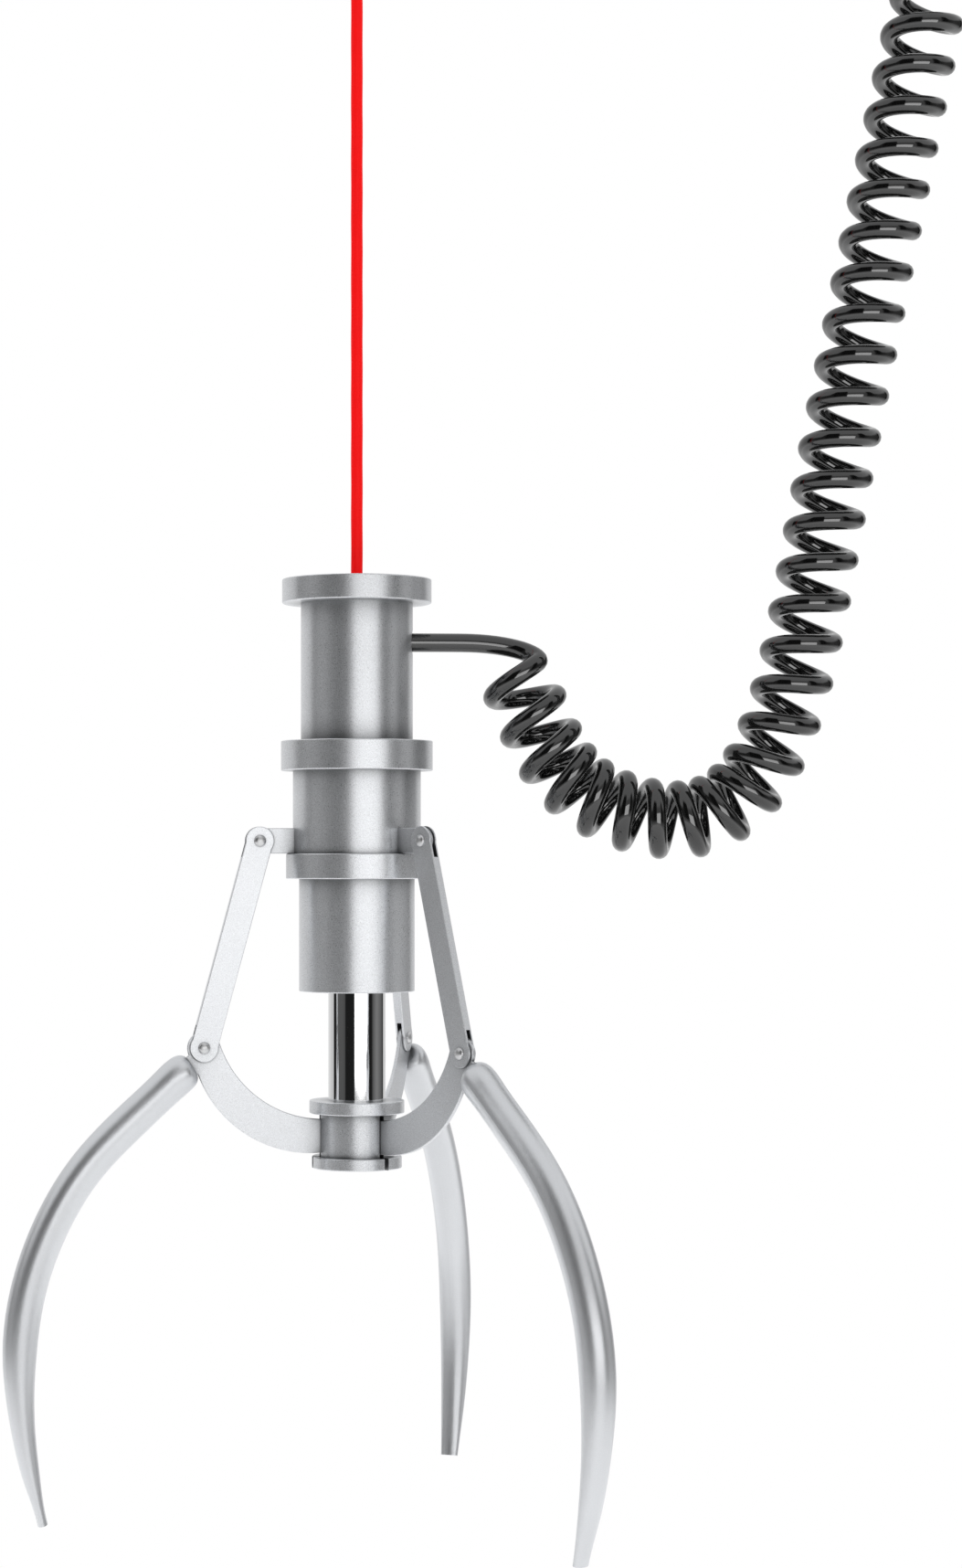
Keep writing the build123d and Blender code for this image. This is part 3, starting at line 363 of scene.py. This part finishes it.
def make_spring():
    """The return spring inside the cylinder, wound over the CAD spring's box at one fixed length."""
    low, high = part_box("return_spring")
    reach = (high.x - low.x) / 2 - SPRING_WIRE
    climb = high.z - low.z - 2 * SPRING_WIRE
    count = int(SPRING_TURNS * SPRING_STEPS)
    rise = climb / (2 * math.pi * SPRING_TURNS)

    def build(shape):
        rings = []
        for step in range(count + 1):
            angle = 2 * math.pi * step / SPRING_STEPS
            outward = Vector((math.cos(angle), math.sin(angle), 0))
            centre = outward * reach + Vector((0, 0, low.z + SPRING_WIRE + climb * step / count))
            slope = Vector((-outward.y * reach, outward.x * reach, rise)).normalized()
            across = slope.cross(outward)
            ring = []
            for side in range(SPRING_SIDES):
                turn = 2 * math.pi * side / SPRING_SIDES
                spoke = outward * math.cos(turn) + across * math.sin(turn)
                ring.append(shape.verts.new(centre + SPRING_WIRE * spoke))
            rings.append(ring)
        close_tube(shape, rings)

    spring = mesh_piece("wound_spring", build)
    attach(spring, "root")
    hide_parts("return_spring")
    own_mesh(spring)
    return spring


# ---------------------------------------------------------------- node helpers for materials

class Nodes:
    """A short way to build one node tree."""

    def __init__(self, tree):
        self.tree = tree
        tree.nodes.clear()

    def add(self, kind, settings=None, **sockets):
        """A node with its settings, and its sockets set to values or linked to outputs."""
        node = self.tree.nodes.new(kind)
        for name, value in (settings or {}).items():
            setattr(node, name, value)
        for name, value in sockets.items():
            self.feed(node, name.replace("_", " "), value)
        return node

    def feed(self, node, name, value):
        """Set or link one socket, found by its name or, as in i2, by its number."""
        socket = node.inputs[int(name[1:])] if name[0] == "i" and name[1:].isdigit() else node.inputs[name]
        if isinstance(value, bpy.types.NodeSocket):
            self.tree.links.new(value, socket)
        else:
            socket.default_value = value

    def math(self, operation, *values, clamp=False):
        """The result of one maths step."""
        numbered = {f"i{index}": value for index, value in enumerate(values)}
        return self.add("ShaderNodeMath", {"operation": operation, "use_clamp": clamp}, **numbered).outputs[0]

    def noise(self, where, scale, detail=3.0, roughness=0.55):
        """A noise value from 0 to 1."""
        node = self.add("ShaderNodeTexNoise", Vector=where, Scale=scale, Detail=detail, Roughness=roughness)
        return node.outputs["Fac"]

    def spread(self, value, low, high, to_low, to_high):
        """A value mapped from one range to another."""
        node = self.add("ShaderNodeMapRange", {"clamp": True}, Value=value)
        for name, number in zip(("From Min", "From Max", "To Min", "To Max"), (low, high, to_low, to_high)):
            node.inputs[name].default_value = number
        return node.outputs[0]

    def blend(self, share, first, second):
        """A colour between two others; a Mix node's colour inputs are its numbers 6 and 7."""
        node = self.add("ShaderNodeMix", {"data_type": "RGBA"})
        self.feed(node, "i0", share)
        self.feed(node, "i6", first)
        self.feed(node, "i7", second)
        return node.outputs[2]

    def corner_shade(self, distance):
        """How open the surface is, as a mask for painted shade: 0 deep in a corner, 1 in the open."""
        node = self.add("ShaderNodeAmbientOcclusion", {"samples": 8}, Distance=distance)
        return node.outputs["AO"]

    def stretched(self, where, factors):
        """Coordinates stretched along each axis."""
        return self.add("ShaderNodeMapping", Vector=where, Scale=factors).outputs[0]


def new_material(name):
    """A material with its node tree emptied, and the object's own coordinates."""
    material = bpy.data.materials.new(name)
    material.use_nodes = True
    nodes = Nodes(material.node_tree)
    where = nodes.add("ShaderNodeTexCoord").outputs["Object"]
    return material, nodes, where


def finish_material(nodes, colour, roughness, bump_height, bump_depth, fixed):
    """The shader at the end of a material: colour, roughness and bump come from nodes."""
    bump = nodes.add("ShaderNodeBump", Strength=1.0, Distance=bump_depth, Height=bump_height)
    shader = nodes.add("ShaderNodeBsdfPrincipled", Roughness=roughness, Normal=bump.outputs[0])
    nodes.feed(shader, "Base Color", colour)
    for name, value in fixed.items():
        shader.inputs[name].default_value = value
    nodes.add("ShaderNodeOutputMaterial", Surface=shader.outputs[0])
    return shader


def grey(level, blue=0.0):
    """A neutral colour, a little bluer if asked."""
    return (level, level + blue * 0.4, level + blue, 1.0)


# ---------------------------------------------------------------- materials

SPECKLES_PER_METRE = 2600
GRAIN_DEPTH, CLAW_GRAIN_DEPTH = 0.000028, 0.000007
GRAIN_ROUGHNESS = 0.04
CLOUD_TONE = 0.02
RUB_DEPTH = 0.015
PAINTED_SHADE_REACH = 0.012
PAINTED_SHADE_LEVEL = 0.20
TURNING_DEPTH, GRINDING_DEPTH, MOULDING_DEPTH = 0.000004, 0.0000006, 0.00002
HOSE_IOR = 1.82
NICKEL, BRASS = (0.72, 0.69, 0.62, 1), (0.78, 0.62, 0.34, 1)


def blasted_metal(name, level, roughness, grain, depth=GRAIN_DEPTH, metallic=0.86):
    """Bead-blasted aluminium: speckled grain, cloudy tone, painted shade in corners and faint handling marks.
    """
    material, nodes, where = new_material(name)
    speckle = nodes.noise(where, SPECKLES_PER_METRE, 1.0, 0.6)
    clouds = nodes.noise(where, 55, 4.0)
    fine_tone = nodes.spread(speckle, 0.3, 0.7, -grain, grain)
    cloudy_tone = nodes.spread(clouds, 0.3, 0.7, -CLOUD_TONE, CLOUD_TONE)
    share = nodes.math("ADD", nodes.math("ADD", fine_tone, cloudy_tone), 0.5, clamp=True)
    grain_colour = nodes.blend(share, grey(level * 0.72, 0.026), grey(min(1.0, level * 1.28), 0.044))
    # Painted shade: ambient occlusion darkens the colour in corners and where parts stand close together
    unshaded_share = nodes.spread(nodes.corner_shade(PAINTED_SHADE_REACH), 0.35, 0.94, 0.0, 1.0)
    colour = nodes.blend(unshaded_share, grey(level * PAINTED_SHADE_LEVEL, 0.01), grain_colour)
    handling = nodes.noise(nodes.stretched(where, (1, 1, 0.25)), 160, 3.0)
    rubbed = nodes.spread(handling, 0.58, 0.75, 0.0, -RUB_DEPTH)
    grainy = nodes.spread(speckle, 0.25, 0.75, roughness - GRAIN_ROUGHNESS, roughness + GRAIN_ROUGHNESS)
    rough = nodes.math("ADD", grainy, rubbed)
    finish_material(nodes, colour, rough, speckle, depth, {"Metallic": metallic})
    return material


def turned_steel(name, level, roughness):
    """Machined steel with fine turning lines and a few scuffs."""
    material, nodes, where = new_material(name)
    lines = nodes.noise(nodes.stretched(where, (0.04, 0.04, 1.0)), 5200, 2.0)
    scuffs = nodes.noise(where, 420, 4.0)
    worn = nodes.spread(scuffs, 0.35, 0.7, 0.0, 1.0)
    colour = nodes.blend(worn, grey(level, 0.01), grey(level * 0.86, 0.004))
    lined = nodes.spread(lines, 0.3, 0.7, roughness - 0.05, roughness + 0.05)
    rough = nodes.math("ADD", lined, nodes.spread(scuffs, 0.5, 0.7, 0.0, 0.07))
    finish_material(nodes, colour, rough, lines, TURNING_DEPTH, {"Metallic": 1.0})
    return material


def hard_chrome():
    """The ground and polished piston rod, with a thin film of oil that leaves slight streaks."""
    material, nodes, where = new_material("hard_chrome")
    film = nodes.noise(nodes.stretched(where, (1, 1, 0.12)), 260, 3.0)
    grind = nodes.noise(nodes.stretched(where, (0.05, 0.05, 1.0)), 9000, 1.0)
    colour = nodes.blend(nodes.spread(film, 0.35, 0.7, 0.0, 1.0), grey(0.92, 0.01), grey(0.86, 0.01))
    streaked = nodes.spread(film, 0.4, 0.75, 0.025, 0.06)
    rough = nodes.math("ADD", streaked, nodes.spread(grind, 0.3, 0.7, 0.0, 0.015))
    finish_material(nodes, colour, rough, grind, GRINDING_DEPTH, {"Metallic": 1.0})
    return material


RED = (1.0, 0.004, 0.004, 1)
RED_GLOW = 0.30


def red_coat():
    """Bright red plastic over a wire rope, with fine lengthwise draw lines and a slight painted glow of its
    own that brightens the red.
    """
    material, nodes, where = new_material("red_coat")
    drawn = nodes.noise(nodes.stretched(where, (1, 1, 0.03)), 2400, 2.0)
    blotches = nodes.noise(where, 130, 3.0)
    lined = nodes.spread(drawn, 0.3, 0.7, 0.0, 0.7)
    share = nodes.math("ADD", lined, nodes.spread(blotches, 0.4, 0.7, 0.0, 0.3))
    colour = nodes.blend(share, (0.96, 0.004, 0.004, 1), (0.82, 0.004, 0.005, 1))
    rough = nodes.spread(drawn, 0.3, 0.7, 0.45, 0.6)
    # Painted light: the coat emits its own red glow, though it is no lamp
    specular_and_painted_glow = {"Specular IOR Level": 0.2, "Emission Color": RED, "Emission Strength": RED_GLOW}
    finish_material(nodes, colour, rough, drawn, MOULDING_DEPTH, specular_and_painted_glow)
    return material


def black_polyurethane():
    """The hose: deep black, glossy, with faint dust and a trace of flow lines."""
    material, nodes, where = new_material("black_polyurethane")
    dust = nodes.noise(where, 900, 5.0, 0.7)
    handled = nodes.noise(where, 70, 3.0)
    colour = nodes.blend(nodes.spread(dust, 0.58, 0.8, 0.0, 0.5), grey(0.004), grey(0.02, 0.002))
    handled_skin = nodes.spread(handled, 0.35, 0.7, 0.05, 0.10)
    rough = nodes.math("ADD", handled_skin, nodes.spread(dust, 0.6, 0.8, 0.0, 0.10))
    finish_material(nodes, colour, rough, handled, MOULDING_DEPTH, {"IOR": HOSE_IOR})
    return material


def seal_rubber():
    """Matt black seal rubber with a moulded skin."""
    material, nodes, where = new_material("seal_rubber")
    skin = nodes.noise(where, 1800, 4.0)
    colour = nodes.blend(skin, grey(0.018), grey(0.035))
    finish_material(nodes, colour, nodes.spread(skin, 0.3, 0.7, 0.5, 0.7), skin, MOULDING_DEPTH, {})
    return material


def plated_brass():
    """Nickel-plated brass with warm rub marks."""
    material, nodes, where = new_material("plated_brass")
    rub = nodes.noise(where, 500, 4.0)
    lines = nodes.noise(nodes.stretched(where, (0.05, 0.05, 1.0)), 5000, 2.0)
    colour = nodes.blend(nodes.spread(rub, 0.5, 0.72, 0.0, 1.0), NICKEL, BRASS)
    rough = nodes.spread(lines, 0.3, 0.7, 0.16, 0.28)
    finish_material(nodes, colour, rough, lines, TURNING_DEPTH, {"Metallic": 1.0})
    return material


def slot_materials():
    """One finished material for each of the record's slots."""
    return {
        "satin_aluminium": blasted_metal("blasted_aluminium", level=0.80, roughness=0.31, grain=0.34),
        "satin_plate": blasted_metal("blasted_plate", level=0.92, roughness=0.33, grain=0.32),
        "satin_claw": blasted_metal(
            "satin_claw", level=0.79, roughness=0.36, grain=0.04, depth=CLAW_GRAIN_DEPTH, metallic=0.9,
        ),
        "polished_steel": turned_steel("turned_steel", level=0.74, roughness=0.34),
        "chrome_rod": hard_chrome(),
        "red_rope": red_coat(),
        "black_hose": black_polyurethane(),
        "seal_rubber": seal_rubber(),
        "brass": plated_brass(),
    }


def paint(piece, material):
    """Give a whole piece one material."""
    piece.data.materials.clear()
    piece.data.materials.append(material)


# ---------------------------------------------------------------- studio

FLOOR_HEIGHT = -1.5
FLOOR_RADIUS, FLOOR_SIDES = 3.3, 96
FLOOR_GLOW, RIM_GLOW = 0.22, 0.48
FLOOR_FADE = (0.9, 2.6)
FLOOR_UNEVENNESS = 0.0002
SKY_WHITE = 0.78
FLOOR_WHITE = 0.95
SOFTBOX_AWAY = 2.0
SOFTBOX_HEIGHT = -0.40

# Marks round the studio wall: turn from the front in degrees, + to the right, brightness, height in degrees
WALL = [
    (-180, 0.86, 20), (-150, 0.76, 20), (-109, 0.56, 20), (-105, 0.012, 18), (-93, 0.012, 16),
    (-90, 0.16, 12), (-76, 0.09, 10), (-60, 0.09, 12), (-49, 0.07, 34), (-46, 0.012, 40),
    (-9, 0.012, 40), (-8, 0.4, 26), (44, 0.4, 26), (46, 0.25, 30), (50, 0.012, 32),
    (62, 0.012, 32), (70, 0.10, 12), (88, 0.20, 10), (105, 0.14, 14), (122, 0.09, 18),
    (126, 0.02, 20), (131, 0.02, 20), (134, 0.58, 20), (180, 0.82, 20),
]
WALL_SOFTNESS = 10.0
WALL_FOOT = (-21.0, -5.5)


def wall_mark(level, top):
    """One mark on the wall's ramp: brightness in red, height as a share of a right angle in green."""
    return (level, top / 90, 0, 1)


def make_studio_world():
    """White studio with dark and grey flags round the sides; the camera itself sees plain white."""
    world = bpy.data.worlds.new("studio")
    world.use_nodes = True
    bpy.context.scene.world = world
    nodes = Nodes(world.node_tree)
    way = nodes.add("ShaderNodeTexCoord").outputs["Generated"]
    parts = nodes.add("ShaderNodeSeparateXYZ", Vector=way).outputs
    turn = nodes.math("ARCTAN2", parts["X"], nodes.math("MULTIPLY", parts["Y"], -1.0))
    share = nodes.spread(turn, -math.pi, math.pi, 0.0, 1.0)
    ramp = nodes.add("ShaderNodeValToRGB", Fac=share)
    marks = ramp.color_ramp.elements
    marks[0].color, marks[1].color = wall_mark(*WALL[0][1:]), wall_mark(*WALL[-1][1:])
    for degrees, level, top in WALL[1:-1]:
        marks.new(degrees / 360 + 0.5).color = wall_mark(level, top)
    wall = nodes.add("ShaderNodeSeparateColor", Color=ramp.outputs[0]).outputs
    level = nodes.add("ShaderNodeCombineColor", Red=wall[0], Green=wall[0], Blue=wall[0]).outputs[0]
    height = nodes.math("DEGREES", nodes.math("ARCSINE", parts["Z"]))
    past_top = nodes.math("SUBTRACT", height, nodes.math("MULTIPLY", wall[1], 90.0))
    above = nodes.spread(past_top, 0.0, WALL_SOFTNESS, 0.0, 1.0)
    below = nodes.spread(height, *WALL_FOOT, 1.0, 0.0)
    lower = nodes.blend(below, level, grey(FLOOR_WHITE, 0.01))
    seen = nodes.blend(above, lower, grey(SKY_WHITE, 0.01))
    direct = nodes.add("ShaderNodeLightPath").outputs["Is Camera Ray"]
    colour = nodes.blend(direct, seen, grey(1.0))
    background = nodes.add("ShaderNodeBackground", Color=colour, Strength=1.0)
    nodes.add("ShaderNodeOutputWorld", Surface=background.outputs[0])


def make_softbox(name, turn, size, glow, lit=(), unlit=()):
    """An area light on the studio wall, for the lit pieces only or for all but the unlit ones."""
    width, height = size
    data = bpy.data.lights.new(name, "AREA")
    data.shape = "RECTANGLE"
    data.size, data.size_y = width, height
    data.energy = glow * math.pi * width * height
    around = math.radians(turn)
    softbox = bpy.data.objects.new(name, data)
    softbox.location = (SOFTBOX_AWAY * math.sin(around), -SOFTBOX_AWAY * math.cos(around), SOFTBOX_HEIGHT)
    softbox.rotation_euler = (math.pi / 2, 0, around)
    softbox.visible_camera = False
    chosen = bpy.data.collections.new(name)
    softbox.light_linking.receiver_collection = chosen
    for piece in (*lit, *unlit):
        chosen.objects.link(piece)
    for entry in chosen.collection_objects:
        entry.light_linking.link_state = "INCLUDE" if lit else "EXCLUDE"
    link(softbox)


def make_floor():
    """A large plain pale floor far below the hanging gripper, fading to white towards its rim."""
    def build(shape):
        bmesh.ops.create_circle(shape, cap_ends=True, segments=FLOOR_SIDES, radius=FLOOR_RADIUS)

    floor = mesh_piece("floor", build, smooth=False)
    floor.location.z = FLOOR_HEIGHT
    material, nodes, where = new_material("pale_floor")
    clouds = nodes.noise(where, 0.8, 2.0)
    colour = nodes.blend(clouds, grey(0.90), grey(0.94))
    rough = nodes.spread(clouds, 0.3, 0.7, 0.7, 0.8)
    shader = finish_material(nodes, colour, rough, clouds, FLOOR_UNEVENNESS, {"Emission Color": grey(1.0)})
    away = nodes.add("ShaderNodeVectorMath", {"operation": "LENGTH"}, Vector=where).outputs["Value"]
    nodes.feed(shader, "Emission Strength", nodes.spread(away, *FLOOR_FADE, FLOOR_GLOW, RIM_GLOW))
    paint(floor, material)


# ---------------------------------------------------------------- making

make_camera()
hose = make_hose()
rope = make_rope()
plates, rivets = [], []
for finger in FINGERS:
    hinge = Vector(JOINTS[f"link_swing_{finger}"]["axis"]).normalized()
    plates.append(make_plate(f"arm_{finger}", f"arm_plate_{finger}", f"finger_{finger}", hinge))
    plates.append(make_plate(f"bracket_{finger}", f"link_arm_{finger}", "root", hinge))
    rivets.append(make_rivets(finger))
spring = make_spring()

make_studio_world()
rod = frame["nodes"]["piston_rod"]
make_softbox("key", turn=18.0, size=(2.05, 0.56), glow=1.27, unlit=[hose])
make_softbox("hose_key", turn=18.4, size=(1.6, 0.95), glow=2.9, lit=[hose])
make_softbox("left_fill", turn=-88.0, size=(1.9, 1.0), glow=0.09, unlit=[hose, rod])
make_softbox("right_fill", turn=96.0, size=(2.0, 1.0), glow=0.14, unlit=[hose, rod])
make_floor()
bpy.context.scene.view_settings.view_transform = "Standard"

FINISHES = slot_materials()
for subpart in SUBPARTS:
    paint(frame["nodes"][subpart["node"]], FINISHES[subpart["material_slot"]])
paint(hose, FINISHES["black_hose"])
paint(rope, FINISHES["red_rope"])
for plate in plates:
    paint(plate, FINISHES["satin_plate"])
for piece in (*rivets, spring):
    paint(piece, FINISHES["polished_steel"])
